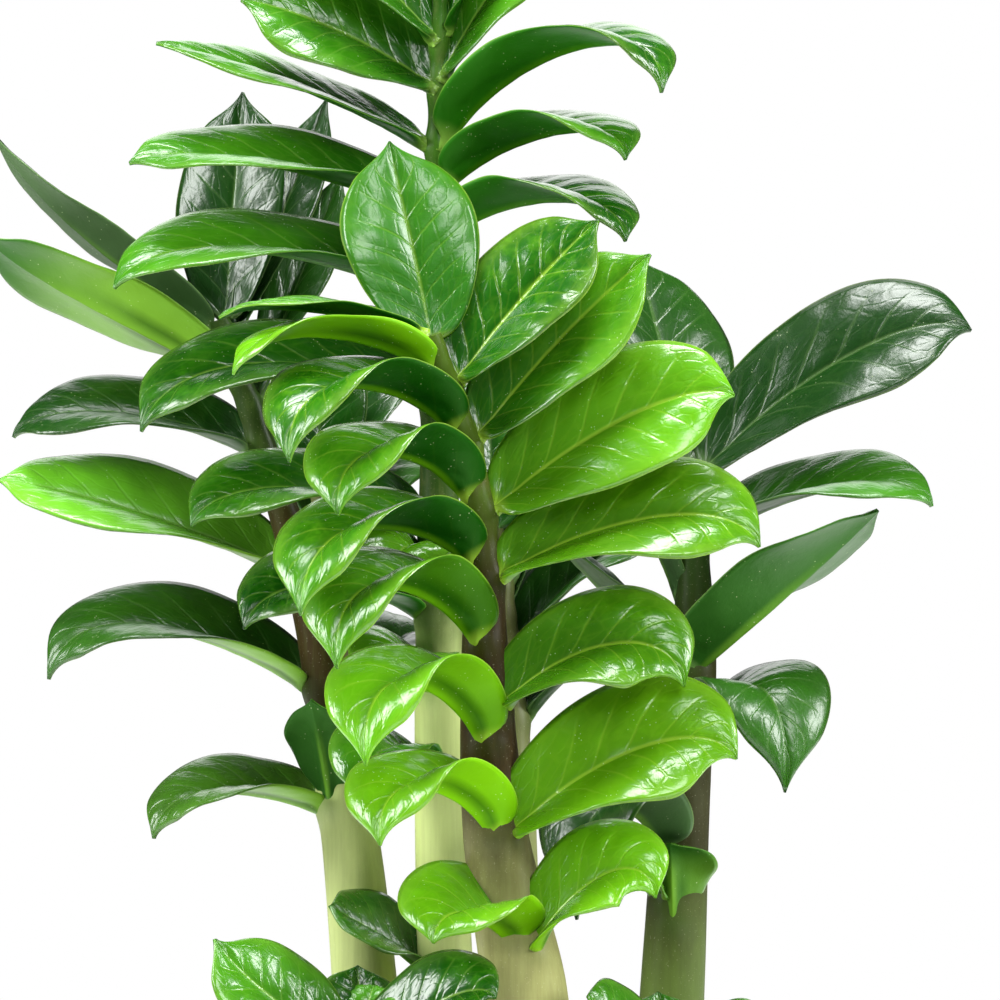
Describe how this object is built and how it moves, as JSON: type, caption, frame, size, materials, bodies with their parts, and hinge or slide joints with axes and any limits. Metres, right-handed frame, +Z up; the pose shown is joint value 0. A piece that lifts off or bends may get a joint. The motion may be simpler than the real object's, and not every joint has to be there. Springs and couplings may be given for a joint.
{
  "type": "potted zz plant",
  "caption": "Compact ZZ plant with thick upright stems and glossy, curled leaflets, standing in soil in a plain round tapered grower's pot with drain holes.",
  "frame": {"origin": "middle of the pot's flat underside", "axes": "+Z up along the pot's axis, -Y towards the plant's front with the young bright frond, +X to the right seen from the front"},
  "size_m": [0.2122, 0.1613, 0.3831],
  "materials": {
    "pot": "satin dark grey moulded plastic",
    "soil": "matt crumbly potting soil",
    "rhizome": "matt pale brown skin",
    "young_leaf": "glossy bright green leaf on a pale olive stem",
    "leaf": "glossy mid green leaf on a pale olive stem",
    "old_leaf": "glossy dark green leaf on an olive brown stem"
  },
  "bodies": {
    "root": {"pot": "pot", "soil": "soil", "rhizome": "rhizome", "frond_front": "young_leaf", "frond_tall": "leaf", "frond_left": "old_leaf", "frond_right": "old_leaf", "frond_low_left": "leaf", "frond_low_right": "leaf", "frond_rear_left": "old_leaf", "frond_rear_right": "old_leaf"}
  },
  "joints": []
}
